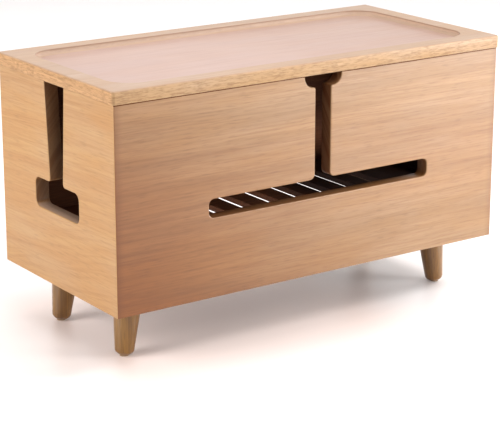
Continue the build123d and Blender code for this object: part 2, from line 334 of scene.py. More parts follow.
class BoardSheet(ShaderSheet):
    """A board's node tree, with its tone so far and what the patterns are read from.

    Attributes:
        along: Place along the fibres.
        across: Place on the first of the other two axes.
        up: Place on the second of them.
        endwise: How squarely a face looks along the fibres.
        upward: How squarely a face looks up, -1 to 1.
        tone: The tone so far.
        shade_share: How much painted shade lies on it, which weakens its shine too.
    """

    def __init__(self, name: str, grain: Grain, seed: float) -> None:
        """Starts the tree with its coordinates.

        Args:
            name: The material's name.
            grain: Which way the fibres run.
            seed: Moves all patterns, in millimetres along the board.
        """
        super().__init__(name)
        axes = self.position()
        self.along = axes.pop(grain.value)
        self.across, self.up = axes
        self.seed = seed
        self.shifted = self.along + seed
        facing = self.parts(self.add("ShaderNodeNewGeometry").outputs["Normal"])
        self.endwise, self.upward = abs(facing[grain.value]), facing[2]
        self.tone: object = None
        self.shade_share: Value = 0.0

    def lay(self, share: Value, paint: object, blend: str = "MIX") -> None:
        """Lays a paint over the tone, as far as the share goes."""
        self.tone = self.mix(share, self.tone, paint, blend)

    def spread(self, pattern: Pattern, *place: Value) -> Wave:
        """Reads a pattern's noise.

        Args:
            pattern: The pattern.
            *place: What it is read by, where that isn't the board's own axes.

        Returns:
            The noise.
        """
        if not place:
            up = self.up * (pattern.up or pattern.across)
            place = (self.shifted * pattern.along, self.across * pattern.across, up)
        return self.noise(self.vector(*place), 1.0, pattern.detail, pattern.rough)

    def shown(self, pattern: Pattern, top: float = 1.0, *place: Value) -> Wave:
        """Says how much of a pattern shows, 0 to top."""
        return self.spread(pattern, *place).span(*pattern.seen, top)


@dataclass(frozen=True)
class BeechFinish:
    """Satin lacquered beech, cut from a log whose heart lies at a given place.

    Attributes:
        name: The material's name.
        grain: Which way the fibres run.
        heart: Where the log's heart crosses the other two axes.
        pale: Early wood.
        body: The usual tone.
        line: Late wood lines.
        fleck: The short dark flecks.
        cut: End grain.
        shade_tone: The painted shade's tone, under the lid and on the openings' cut walls.
        golden: The tinge that parts of the board have.
        sheen_tone: The tone of the painted sheen.
        lit_tone: The tone of the painted light on the tray's slopes and on the sills.
        deep: What the tone is multiplied by in the painted shade.
        amber: What the tone is multiplied by in the band.
        seed: Moves all patterns, so that no two boards match.
        slant: Millimetres that the rings rise in one along the board.
        wander: How far the rings stray.
        flecks: How strongly the flecks show.
        figure: How strongly the late wood lines show.
        speckled: How strongly its upright faces are speckled.
        end_darkening: Half the board's length, towards whose ends the tone darkens. 0 for
            none.
        reach: How far in from its ends it has.
        shade_span: Where the painted shade begins and ends, along the board with 1.2
        times the height added. Two equal numbers for nowhere.
        band: Height of a more golden band and half its width. Noughts for none.
        sheen_share: How strong the painted sheen is where it lies level.
        lip: Height above which the painted sheen is weaker.
        routed: Half the length and half the depth within which its slopes are a tray's.
        slope_light: How much painted light lies on the slopes of the tray. 0 for no tray.
        outer: How far its outer face lies from the middle. The arris of each opening gets
            a painted highlight there, and the cut walls behind it painted shade. 0 for
            none.
        wall_shade: How strong the painted shade on those walls is.
        spared: How much less of it the upward ones get.
        sill_light: How much painted light the upward ones get.
        shadow_line: Height above which its eased edge gets a painted shadow. 0 for none.
        gloss: Roughness of the lacquer.
        shine: Strength of the wood's own shine.
        coat: Weight of the lacquer's shine.
    """

    name: str
    grain: Grain
    heart: Point2
    pale: Rgba = colour(160, 122, 85)
    body: Rgba = colour(145, 108, 72)
    line: Rgba = colour(125, 86, 52)
    fleck: Rgba = colour(104, 69, 42)
    cut: Rgba = colour(147, 113, 78)
    shade_tone: Rgba = colour(88, 42, 20)
    golden: Rgba = colour(255, 248, 230)
    sheen_tone: Rgba = colour(199, 171, 181)
    lit_tone: Rgba = colour(192, 164, 148)
    deep: Rgba = colour(216, 172, 106)
    amber: Rgba = colour(251, 244, 237)
    seed: float = 0.0
    slant: float = 0.0
    wander: float = 3.0
    flecks: float = 0.3
    figure: float = 0.36
    speckled: float = 0.0
    end_darkening: float = 0.0
    reach: float = 9.0
    shade_span: Point2 = (0.0, 0.0)
    band: Point2 = (0.0, 0.0)
    sheen_share: float = 0.0
    lip: float = 235.5
    routed: Point2 = (0.0, 0.0)
    slope_light: float = 0.0
    outer: float = 0.0
    wall_shade: float = 0.42
    spared: float = 0.75
    sill_light: float = 0.0
    shadow_line: float = 0.0
    gloss: float = 0.42
    shine: float = 0.5
    coat: float = 0.12

    def rings(self, sheet: BoardSheet) -> list[Wave]:
        """Draws the rings round the log's heart, which wanders along the board.

        Args:
            sheet: The board's node tree.

        Returns:
            How much shows of the soft wide bands, and of the thin late wood lines.
        """
        stray = sheet.spread(STRAY) * (4 * self.wander)
        side, rise = sheet.across - self.heart[0], sheet.up - self.heart[1]
        ring = sheet.math("SQRT", side * side + rise * rise)
        ring = ring + sheet.along * self.slant + stray
        drawn = []
        for pattern in (WIDE_BANDS, THIN_LINES):
            place = (ring * pattern.across, sheet.shifted * pattern.along, sheet.seed)
            drawn.append(sheet.shown(pattern, 1.0, *place))
        return drawn

    def ends(self, sheet: BoardSheet, wide: Wave, thin: Wave) -> Socket:
        """Gives the tone of the end grain.

        Args:
            sheet: The board's node tree.
            wide: How much of the wide bands shows.
            thin: How much of the thin lines shows.

        Returns:
            The tone.
        """
        place = (sheet.across * PORES.across, sheet.up * PORES.across, sheet.seed)
        ends = sheet.mix(thin * 0.45, self.cut, self.line)
        ends = sheet.mix(wide * 0.2, ends, self.fleck)
        return sheet.mix(sheet.shown(PORES, 0.5, *place), ends, self.fleck)

    def openings(self, sheet: BoardSheet, wide: Wave) -> None:
        """Paints a highlight on the openings' arris, and shade on the cut walls behind it.

        Args:
            sheet: The board's node tree.
            wide: How much of the wide bands shows, which the painted shade follows.
        """
        depth = self.outer - abs(sheet.across)
        # Paints a pale highlight along the arris of each opening.
        arris_highlight = (1.0 - depth.span(0.4, 0.75)) * depth.span(0.04, 0.16, 0.5)
        sheet.lay(arris_highlight, self.pale)
        wall = (0.5, 1.3)
        # Upward sills get painted light and less of the painted shade.
        sill = sheet.upward.span(0.5, 0.9, self.spared)
        sheet.lay(sill * depth.span(*wall, self.sill_light), self.lit_tone)
        # Paints shade on the cut walls inside the openings.
        shaded_walls = depth.span(*wall, self.wall_shade) * (1.0 - sill)
        sheet.shade_share = shaded_walls * (wide * 0.5 + 0.75)
        sheet.lay(sheet.shade_share, self.shade_tone)

    def speckling(self, sheet: BoardSheet) -> None:
        """Speckles the upright faces."""
        upright = 1.0 - abs(sheet.upward).span(0.5, 0.9)
        sheet.lay(sheet.shown(SPECKS, self.speckled) * upright, self.fleck)

    def paint_sheen(self, sheet: BoardSheet) -> None:
        """Paints a sheen on the level faces, and light and a shade line on a tray's
        slopes.

        Args:
            sheet: The board's node tree.
        """
        lip = (self.lip, self.lip + 1.0)
        # Paints a sheen on the level faces, weaker above the lip.
        level = sheet.upward.span(0.2, 1.0, self.sheen_share)
        level = level * (1.0 - sheet.up.span(*lip, 0.6))
        # Paints light on the tray's slopes.
        if self.slope_light:
            sloping = 1.0 - sheet.upward.span(0.9, 0.995)
            for place, half in zip((sheet.along, sheet.across), self.routed):
                sloping = sloping * (1.0 - abs(place).span(half, half + 0.5))
            sheet.lay(sloping * self.slope_light, self.lit_tone)
            # Paints a shade line along the top of the tray's slopes.
            sheet.lay(sheet.up.span(*lip) * sloping * 0.4, self.fleck)
            level = level * (1.0 - sloping)
        sheet.lay(level, self.sheen_tone)

    def lay_band_and_shade(self, sheet: BoardSheet) -> None:
        """Lays the golden band and paints shade towards one corner.

        Args:
            sheet: The board's node tree.
        """
        middle, half = self.band
        if half:
            near = 1.0 - abs(sheet.up - middle).span(half * 0.2, half)
            sheet.lay(near, self.amber, "MULTIPLY")
        # Paints shade growing towards one corner; on a sheened board, on its level faces
        # only.
        if self.shade_span[0] != self.shade_span[1]:
            share = (sheet.along + sheet.up * 1.2).span(*self.shade_span)
            if self.sheen_share:
                share = share * sheet.upward.span(0.2, 1.0)
            sheet.lay(share, self.deep, "MULTIPLY")

    def material(self) -> Material:
        """Writes the material: rings, lines, fibres, flecks and end grain, with painted
        highlights, sheen, light and shade.

        Returns:
            The material.
        """
        sheet = BoardSheet(self.name, self.grain, self.seed)
        wide, thin = self.rings(sheet)
        fibre = sheet.spread(FIBRES)
        fleck = sheet.shown(FLECKS, self.flecks)
        sheet.tone = sheet.mix(wide, self.pale, self.body)
        sheet.lay(sheet.shown(CLOUDS, 0.35), self.body)
        sheet.lay(thin * self.figure, self.line)
        sheet.lay(sheet.shown(TINGES), self.golden, "MULTIPLY")
        sheet.lay(fibre.span(*FIBRES.seen, 0.5), self.line)
        sheet.lay(fleck, self.fleck)
        # Darkens the tone towards both ends of the board.
        if self.end_darkening:
            inward = self.end_darkening - self.reach
            sheet.lay(abs(sheet.along).span(inward, self.end_darkening, 0.6), self.line)
        end = sheet.endwise.span(0.75, 0.97)
        sheet.lay(end, self.ends(sheet, wide, thin))
        if self.outer:
            self.openings(sheet, wide)
        if self.speckled:
            self.speckling(sheet)
        if self.sheen_share:
            self.paint_sheen(sheet)
        self.lay_band_and_shade(sheet)
        # Paints a shadow line on the eased top edge, under the lid's overhang.
        if self.shadow_line:
            eased = 1.0 - abs(sheet.upward).span(0.93, 0.99)
            high = sheet.up.span(self.shadow_line, self.shadow_line + 0.2, 0.9) * eased
            sheet.lay(high, self.shade_tone)
            sheet.shade_share = sheet.math("MAXIMUM", sheet.shade_share, high)

        surface = {
            "Base Color": sheet.tone,
            "Roughness": fibre * 0.16 + (self.gloss - 0.08) + end * 0.18,
            "Coat Weight": self.coat,
            "Coat Roughness": 0.22,
            "Specular IOR Level": self.shine,
        }
        # The painted shade also weakens the coat and the wood's shine.
        if isinstance(sheet.shade_share, Wave):
            for key in ("Coat Weight", "Specular IOR Level"):
                surface[key] = (1.0 - sheet.shade_share) * surface[key]
        return sheet.finish(surface, fibre + fleck * -0.5, 0.05)


@dataclass(frozen=True)
class StainedBoardFinish:
    """Thin board stained almost black, with a little of its grain left to see.

    Attributes:
        name: The material's name.
        stain: The stain's colour.
        raised: The grain that stands out of it.
        deep: What the stain is multiplied by in the painted shade.
        shade_span: Where along the box the painted shade begins and ends, in millimetres.
        gloss: Its roughness.
    """

    name: str
    stain: Rgba = colour(101, 60, 37)
    raised: Rgba = colour(140, 90, 61)
    deep: Rgba = colour(118, 112, 108)
    shade_span: Point2 = (15.0, 75.0)
    gloss: float = 0.7

    def material(self) -> Material:
        """Writes the material: fine grain under a stain, with painted shade along the box.

        Returns:
            The material.
        """
        sheet = BoardSheet(self.name, Grain.LENGTH, 0.0)
        fibre = sheet.spread(STAINED_FIBRES)
        grain = fibre.span(*STAINED_FIBRES.seen)
        sheet.tone = sheet.mix(grain, self.stain, self.raised)
        # Paints shade along the box, darker towards one end.
        sheet.lay(sheet.along.span(*self.shade_span), self.deep, "MULTIPLY")
        surface = {
            "Base Color": sheet.tone,
            "Roughness": fibre * 0.25 + (self.gloss - 0.12),
            "Specular IOR Level": 0.2,
        }
        return sheet.finish(surface, fibre, 0.06)


@dataclass(frozen=True)
class MetalFinish:
    """Plated or bare metal with fine turning marks.

    Attributes:
        name: The material's name.
        tone: The metal's colour.
        stained: The colour of its duller patches.
        gloss: Its roughness.
    """

    name: str
    tone: Rgba
    stained: Rgba
    gloss: float = 0.3

    def material(self) -> Material:
        """Writes the material: turning marks and dull patches.

        Returns:
            The material.
        """
        sheet = ShaderSheet(self.name)
        x, y, z = sheet.position()
        patch = sheet.noise(sheet.vector(x, y, z), 0.35, 3.0).span(0.4, 0.7)
        marks = sheet.noise(sheet.vector(0.0, 0.0, z), 6.0, 1.0)
        tone = sheet.mix(patch, self.tone, self.stained)
        roughness = patch * 0.15 + self.gloss
        surface = {"Base Color": tone, "Roughness": roughness, "Metallic": 1.0}
        return sheet.finish(surface, marks, 0.02)


@dataclass(frozen=True)
class RubberFinish:
    """Matt rubber, a little dusty.

    Attributes:
        name: The material's name.
        tone: The rubber's colour.
        dust: The dust's colour.
    """

    name: str
    tone: Rgba = colour(148, 120, 90)
    dust: Rgba = colour(178, 158, 132)

    def material(self) -> Material:
        """Writes the material: fine pebbling and patches of dust.

        Returns:
            The material.
        """
        sheet = ShaderSheet(self.name)
        place = sheet.vector(*sheet.position())
        pebble = sheet.noise(place, 2.2)
        dusty = sheet.noise(place, 0.4).span(0.45, 0.7, 0.4)
        tone = sheet.mix(dusty, self.tone, self.dust)
        surface = {"Base Color": tone, "Roughness": pebble * 0.2 + 0.65}
        return sheet.finish(surface, pebble, 0.05)


# ---- mesh making ---------------------------------------------------------------------


def link(item: Piece) -> Piece:
    """Links an object to the scene and gives it back."""
    bpy.context.scene.collection.objects.link(item)
    return item


def keep(bm: Mesh, name: str, smooth: float, unit: float = MM) -> Piece:
    """Turns an edited mesh into a smooth-shaded object in metres.

    Args:
        bm: The edited mesh. It is freed.
        name: The object's name.
        smooth: Edges sharper than this many degrees stay sharp.
        unit: What the mesh's unit is in metres.

    Returns:
        The linked object, at the origin.
    """
    bmesh.ops.remove_doubles(bm, verts=bm.verts, dist=NEAR * MM / unit)
    bmesh.ops.recalc_face_normals(bm, faces=bm.faces)
    bmesh.ops.scale(bm, verts=bm.verts, vec=Vector((unit, unit, unit)))
    mesh = bpy.data.meshes.new(name)
    bm.to_mesh(mesh)
    bm.free()
    mesh.shade_smooth()
    mesh.set_sharp_from_angle(angle=math.radians(smooth))
    return link(bpy.data.objects.new(name, mesh))


def loft(rings: Sequence[Corners]) -> Mesh:
    """Bridges rings of equally many points and closes both ends.

    Args:
        rings: The rings, from one end to the other.

    Returns:
        The mesh. Its last face is the last ring's.
    """
    bm = bmesh.new()
    layers = [[bm.verts.new(point) for point in ring] for ring in rings]
    for low, high in zip(layers, layers[1:]):
        for i in range(len(low)):
            bm.faces.new((low[i - 1], low[i], high[i], high[i - 1]))
    bm.faces.new(layers[0])
    bm.faces.new(layers[-1])
    return bm


def quarter(steps: int) -> list[Point2]:
    """Gives the cosine and sine at equal steps from 0 to a quarter turn."""
    turns = [math.pi / 2 * step / steps for step in range(steps + 1)]
    return [(math.cos(turn), math.sin(turn)) for turn in turns]


def rounded_outline(corners: Corners, steps: int = 8) -> list[Point2]:
    """Rounds the corners of a flat outline.

    Args:
        corners: Each corner as its two coordinates and its radius, in order.
        steps: Into how many steps each arc is divided.

    Returns:
        The outline's points, with arcs for the rounded corners.
    """
    points: list[Point2] = []
    for i, (x, y, radius) in enumerate(corners):
        if radius == 0:
            points.append((x, y))
            continue
        here = Vector((x, y))
        back = (Vector(corners[i - 1][:2]) - here).normalized()
        ahead = (Vector(corners[(i + 1) % len(corners)][:2]) - here).normalized()
        half = back.angle(ahead) / 2
        centre = here + (back + ahead).normalized() * (radius / math.sin(half))
        start = here + back * (radius / math.tan(half)) - centre
        end = here + ahead * (radius / math.tan(half)) - centre
        sweep = math.atan2(start.x * end.y - start.y * end.x, start.dot(end))
        for step in range(steps + 1):
            turn = sweep * step / steps
            cos, sin = math.cos(turn), math.sin(turn)
            spoke = (start.x * cos - start.y * sin, start.x * sin + start.y * cos)
            points.append((centre.x + spoke[0], centre.y + spoke[1]))
    return points


def rounded_oblong(half_x: float, half_y: float, radius: float, z: float) -> Corners:
    """Draws a level rectangle with rounded corners.

    Args:
        half_x: Half its length.
        half_y: Half its width.
        radius: The corners' radius.
        z: Its height.

    Returns:
        The points, counter-clockwise from above, as many for every size.
    """
    signs = ((1, 1), (-1, 1), (-1, -1), (1, -1))
    corners = [(sx * half_x, sy * half_y, radius) for sx, sy in signs]
    return [(x, y, z) for x, y in rounded_outline(corners, steps=16)]


def inset(points: Sequence[Point2], by: float) -> list[Point2]:
    """Moves a counter-clockwise outline inwards.

    Args:
        points: The outline.
        by: How far each of its sides moves.

    Returns:
        As many points as before.
    """
    moved = []
    for i, point in enumerate(points):
        here = Vector(point)
        before = (here - Vector(points[i - 1])).normalized()
        after = (Vector(points[(i + 1) % len(points)]) - here).normalized()
        first, second = Vector((-before.y, before.x)), Vector((-after.y, after.x))
        step = (first + second) * (by / (1 + first.dot(second)))
        moved.append((here.x + step.x, here.y + step.y))
    return moved


def dress(piece: Piece, *finishes: Material) -> None:
    """Gives a piece its materials.

    Args:
        piece: The piece.
        *finishes: Its materials, in the order of its faces' material numbers.
    """
    materials = piece.data.materials
    for number, finish in enumerate(finishes):
        if number == len(materials):
            materials.append(finish)
        materials[number] = finish


def seat(piece: Piece, body: str, slot: str, *nodes: str) -> None:
    """Lets a piece ride on a body in place of its CAD nodes.

    Args:
        piece: The finished piece.
        body: The body that carries it.
        slot: Not used.
        *nodes: The nodes that it stands for.
    """
    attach(piece, body)
    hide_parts(*nodes)
    LOG.info("made %s", piece.name)


class GeometryRecipe(NodeSheet):
    """A Geometry Nodes tree with named inputs, turned into a plain mesh at the end."""

    sockets: dict[type, str] = {
        float: "NodeSocketFloat",
        int: "NodeSocketInt",
        Piece: "NodeSocketObject",
        Material: "NodeSocketMaterial",
    }

    def __init__(self, name: str, values: dict[str, object]) -> None:
        """Starts a tree.

        Args:
            name: The tree's name.
            values: Each input's name and value: a length in millimetres with a decimal
                point, a whole number, a piece, or, for "Finish", a material.
        """
        self.tree = bpy.data.node_groups.new(name, "GeometryNodeTree")
        face = self.tree.interface
        self.values: dict[str, object] = {}
        for label, value in values.items():
            kind = self.sockets[type(value)]
            socket = face.new_socket(label, in_out="INPUT", socket_type=kind)
            length = isinstance(value, float)
            self.values[socket.identifier] = value * MM if length else value
        face.new_socket("Mesh", in_out="OUTPUT", socket_type="NodeSocketGeometry")
        self.inputs = self.add("NodeGroupInput").outputs

    def raised(self, mesh: Socket) -> Socket:
        """Lifts a mesh by the input Height."""
        lift = self.put("ShaderNodeCombineXYZ", {"Z": self.inputs["Height"]})
        return self.put("GeometryNodeTransform", {0: mesh, "Translation": lift})

    def repeated(self, places: Socket, item: Socket) -> Socket:
        """Sets an item on every point of the places."""
        inputs = {"Points": places, "Instance": item}
        return self.put("GeometryNodeInstanceOnPoints", inputs)

    def at_corners(self, item: Socket) -> Socket:
        """Sets an item on four places, by the inputs Apart X, Apart Y and Height.

        Args:
            item: What is set.

        Returns:
            The four instances.
        """
        count = {"Vertices X": 2, "Vertices Y": 2}
        size = {"Size X": self.inputs["Apart X"], "Size Y": self.inputs["Apart Y"]}
        grid = self.put("GeometryNodeMeshGrid", {**count, **size})
        return self.repeated(self.raised(grid), item)

    def make(self, name: str, mesh: Socket) -> Piece:
        """Runs the tree once and keeps its result as a plain mesh.

        Args:
            name: The finished object's name.
            mesh: The socket that carries the finished geometry, in metres.

        Returns:
            The linked object, at the origin.
        """
        realized = self.put("GeometryNodeRealizeInstances", {0: mesh})
        finish = {0: realized, "Material": self.inputs["Finish"]}
        self.add("NodeGroupOutput", {0: self.put("GeometryNodeSetMaterial", finish)})

        blank = bpy.data.meshes.new(name + "_recipe")
        holder = link(bpy.data.objects.new(name + "_recipe", blank))
        modifier = holder.modifiers.new("recipe", "NODES")
        modifier.node_group = self.tree
        for identifier, value in self.values.items():
            modifier[identifier] = value
        holder.update_tag()
        bpy.context.view_layer.update()
        graph = bpy.context.evaluated_depsgraph_get()
        finished = bpy.data.meshes.new_from_object(holder.evaluated_get(graph))
        holder.modifiers.clear()
        bpy.data.objects.remove(holder)

        bm = bmesh.new()
        bm.from_mesh(finished)
        piece = keep(bm, name, 30.0, unit=1.0)
        dress(piece, *finished.materials)
        bpy.data.meshes.remove(finished)
        return piece


# ---- sub-assemblies ------------------------------------------------------------------

BOX_BODY = "box"
LID_BODY = "lid_unit"
CARCASS_Z = 50.0
RIM_Z = 226.0
PANEL = 13.0


@dataclass
class LidUnit:
    """The lift-off lid: a board with a shallow tray, and what holds it in place."""

    half_length: float = 201.2
    half_depth: float = 96.2
    top: float = 237.0
    corner: float = 3.0
    least_corner: float = 0.4
    under_ease: float = 0.4
    top_round: float = 1.5
    tray_half_length: float = 183.2
    tray_half_depth: float = 78.2
    tray_corner: float = 24.0
    tray_depth: float = 4.8
    cove: float = 4.2
    arris: float = 0.4
    support: float = 0.5
    screw_x: float = 170.5
    screw_y: float = 71.5
    screw_z: float = 216.0
    screw_profile: tuple[Point2, ...] = ((3.0, 0.0), (1.5, 1.8), (1.5, 13.8))
    screw_sides: int = 24
    drive_radius: float = 1.1
    drive_depth: float = 1.0
    drive_corners: int = 6

    def board(self) -> Piece:
        """Builds the lid from its underside up over the rim and down into the tray.

        Returns:
            The lid without its blocks and screws.
        """
        top, ease, arris, cove = self.top, self.under_ease, self.arris, self.cove
        floor = top - self.tray_depth
        outer = [(ease + self.support, RIM_Z), (ease, RIM_Z)]
        outer += [(ease * 0.35, RIM_Z + ease * 0.3), (0.0, RIM_Z + ease)]
        for cos, sin in quarter(6):
            outer.append((self.top_round * (1 - cos), top - self.top_round * (1 - sin)))
        outer.append((self.top_round + self.support, top))
        tray = [(arris + self.support, top), (arris, top)]
        tray += [(arris * 0.3, top - arris * 0.4), (0.0, top - arris)]
        for cos, sin in quarter(10):
            tray.append((-cove * (1 - cos), floor + cove * (1 - sin)))
        tray.append((-cove - self.support, floor))

        rings = []
        for less, z in outer:
            size = (self.half_length - less, self.half_depth - less)
            corner = max(self.corner - less, self.least_corner)
            rings.append(rounded_oblong(*size, corner, z))
        for more, z in tray:
            size = (self.tray_half_length + more, self.tray_half_depth + more)
            rings.append(rounded_oblong(*size, self.tray_corner + more, z))
        return keep(loft(rings), "lid_board", 50.0)

    def screw_ring(self, radius: float, z: float, corners: int = 0) -> Corners:
        """Gives one level ring of a screw.

        Args:
            radius: Its radius.
            z: Its height.
            corners: How many corners it is drawn in to. 0 for a round one.

        Returns:
            The ring.
        """
        ring = []
        for side in range(self.screw_sides):
            turn = math.tau * side / self.screw_sides
            reach = radius
            if corners:
                half = math.pi / corners
                reach = radius * math.cos(half) / math.cos(turn % (2 * half) - half)
            ring.append((reach * math.cos(turn), reach * math.sin(turn), z))
        return ring

    def screw(self) -> Piece:
        """Builds one countersunk screw.

        Returns:
            The screw, head down, with its drive.
        """
        drive = (self.drive_depth, 0.0)
        corners = self.drive_corners
        rings = [self.screw_ring(self.drive_radius, z, corners) for z in drive]
        rings += [self.screw_ring(*level) for level in self.screw_profile]
        return keep(loft(rings), "screw_pattern", 30.0)

    def screws(self, steel: Material) -> Piece:
        """Sets four screws through Geometry Nodes.

        Args:
            steel: Their finish.

        Returns:
            The four screws as one piece.
        """
        pattern = self.screw()
        values = {
            "Screw": pattern,
            "Apart X": 2 * self.screw_x,
            "Apart Y": 2 * self.screw_y,
            "Height": self.screw_z,
            "Finish": steel,
        }
        recipe = GeometryRecipe("set_screws", values)
        screw = recipe.add("GeometryNodeObjectInfo", {"Object": recipe.inputs["Screw"]})
        row = recipe.at_corners(screw.outputs["Geometry"])
        piece = recipe.make("lid_screws", row)
        bpy.data.objects.remove(pattern)
        return piece

    def build(
        self, frame: dict, wood: Material, hidden: Material, steel: Material
    ) -> None:
        """Builds and seats the whole lid.

        Args:
            wood: The board's finish.
            hidden: The finish of the blocks under it.
            steel: The screws' finish.
        """
        board = self.board()
        dress(board, wood)
        seat(board, LID_BODY, "lid_wood", "lid")
        seat(self.screws(steel), LID_BODY, "screw_steel", "block_screws")
        dress(frame["nodes"]["locating_blocks"], hidden)


class Turn(Enum):
    """Which side of the box a panel is, in quarter turns from the slotted one."""

    FRONT = 0
    RIGHT = 1
    BACK = 2
    LEFT = 3


@dataclass
class MitredPanel:
    """One side of the box: a board with mitred ends and its cut-outs.

    Attributes:
        turn: Which side it is.
        half: Half its length.
        face: How far its outer face is from the middle of the box.
        bottom: Corners of its lower edge, left to right, as (along, up, radius).
        rim: Corners of its upper edge, right to left.
        arris: Rounding of its outer edges.
        ease: Rounding of the box's upright corners.
        inner_arris: Rounding of its inner edges.
        support: How far inside the outer edges a ring holds the face flat.
    """

    turn: Turn
    half: float
    face: float
    bottom: Corners = field(default_factory=list)
    rim: Corners = field(default_factory=list)
    arris: float = 0.8
    ease: float = 1.2
    inner_arris: float = 0.4
    support: float = 0.4

    def ring(
        self, outline: list[Point2], less: float, depth: float, end: float
    ) -> Corners:
        """Places the outline at one depth inside the panel.

        Args:
            outline: The panel's outline.
            less: How far the outline is drawn in.
            depth: How far behind the outer face the ring lies.
            end: How far its ends are drawn in.

        Returns:
            The ring, in the box's own coordinates.
        """
        turn = math.pi / 2 * self.turn.value
        cos, sin = round(math.cos(turn)), round(math.sin(turn))
        y = depth - self.face
        points = []
        for (along, _), (x, up) in zip(outline, inset(outline, less)):
            if abs(along) > self.half - NEAR:
                x = math.copysign(self.half - end, along)
            points.append((x * cos - y * sin, x * sin + y * cos, up))
        return points

    def board(self, name: str) -> Piece:
        """Builds the panel.

        Args:
            name: The object's name.

        Returns:
            The panel as one closed mesh.
        """
        half, low, support = self.half, CARCASS_Z, self.support
        lower = [(-half, low, 0.0), *self.bottom, (half, low, 0.0)]
        upper = [(half, RIM_Z, 0.0), *self.rim, (-half, RIM_Z, 0.0)]
        outline = rounded_outline(lower + upper)
        rings = [self.ring(outline, self.arris + support, 0.0, self.ease + support)]
        joint = self.ease * (1 - math.sqrt(0.5))
        depths = [self.arris * (1 - cos) for cos, _ in quarter(5)]
        for depth in sorted([*depths, joint]):
            end = self.rounding(self.ease, depth) if depth < joint else depth
            less = self.rounding(self.arris, depth)
            rings.append(self.ring(outline, less, depth, end))
        inner = PANEL - self.inner_arris
        rings.append(self.ring(outline, 0.0, inner, inner))
        rings.append(self.ring(outline, self.inner_arris, PANEL, PANEL))
        bm = loft(rings)
        bm.faces.ensure_lookup_table()
        bm.faces[-1].material_index = 1
        return keep(bm, name, 50.0)

    def rounding(self, radius: float, depth: float) -> float:
        """Says how far a rounded edge is drawn in at a depth, 0 past its radius."""
        left = max(radius - depth, 0.0)
        return radius - math.sqrt(radius * radius - left * left)


@dataclass
class Carcass:
    """The four panels of the box, with all their cable openings."""

    half_length: float = 200.0
    half_depth: float = 95.0
    t_centre: float = 5.0
    t_half_width: float = 8.1
    t_half_length: float = 116.0
    t_sill: float = 119.0
    t_end_radius: float = 5.0
    t_junction_radius: float = 5.0
    notch_half: float = 19.25
    notch_depth: float = 10.8
    notch_radius: float = 9.2
    notch_lip: float = 1.7
    window_half: float = 36.5
    window_sill: float = 114.5
    window_height: float = 25.7
    window_radius: float = 6.0
    neck_low: float = 10.6
    neck_rim: float = 16.4
    neck_junction: float = 3.5
    relief_half: float = 178.0
    relief_height: float = 28.0
    relief_radius: float = 10.0

    def mirrored(self, right: Corners, centre: float) -> Corners:
        """Adds the left half of a cut-out that runs from the rim down and back up.

        Args:
            right: Its right half, from the rim to its lowest point.
            centre: Where its middle is.

        Returns:
            Both halves, from right to left.
        """
        left = [(-x, z, radius) for x, z, radius in reversed(right)]
        return [(centre + x, z, radius) for x, z, radius in right + left]

    def t_slot(self) -> Corners:
        """Draws the T-shaped slot with its finger notch.

        Returns:
            Its corners.
        """
        notch_low = RIM_Z - self.notch_depth
        slot_top = self.t_sill + 2 * self.t_half_width
        right = [
            (self.notch_half, RIM_Z, 0.0),
            (self.notch_half, notch_low, self.notch_radius),
            (self.t_half_width, notch_low, self.notch_lip),
            (self.t_half_width, slot_top, self.t_junction_radius),
            (self.t_half_length, slot_top, self.t_end_radius),
            (self.t_half_length, self.t_sill, self.t_end_radius),
        ]
        return self.mirrored(right, self.t_centre)

    def keyhole(self) -> Corners:
        """Draws the end panels' window and its flared neck.

        Returns:
            Its corners.
        """
        head = self.window_sill + self.window_height
        right = [
            (self.neck_rim, RIM_Z, 0.0),
            (self.neck_low, head, self.neck_junction),
            (self.window_half, head, self.window_radius),
            (self.window_half, self.window_sill, self.window_radius),
        ]
        return self.mirrored(right, 0.0)

    def relief(self) -> Corners:
        """Draws the long low gap under the back panel.

        Returns:
            Its corners.
        """
        top = CARCASS_Z + self.relief_height
        return [
            (-self.relief_half, CARCASS_Z, 0.0),
            (-self.relief_half, top, self.relief_radius),
            (self.relief_half, top, self.relief_radius),
            (self.relief_half, CARCASS_Z, 0.0),
        ]

    def build(self, woods: dict[Turn, Material], inside: Material) -> None:
        """Builds and seats the four panels.

        Args:
            woods: Each side's finish.
            inside: The finish of the inner faces.
        """
        long = (self.half_length, self.half_depth)
        short = (self.half_depth, self.half_length)
        panels = [
            MitredPanel(Turn.FRONT, *long, rim=self.t_slot()),
            MitredPanel(Turn.BACK, *long, bottom=self.relief()),
            MitredPanel(Turn.LEFT, *short, rim=self.keyhole()),
            MitredPanel(Turn.RIGHT, *short, rim=self.keyhole()),
        ]
        for panel in panels:
            side = panel.turn.name.lower()
            piece = panel.board(f"{side}_board")
            dress(piece, woods[panel.turn], inside)
            seat(piece, BOX_BODY, "panel_wood", f"{side}_panel")


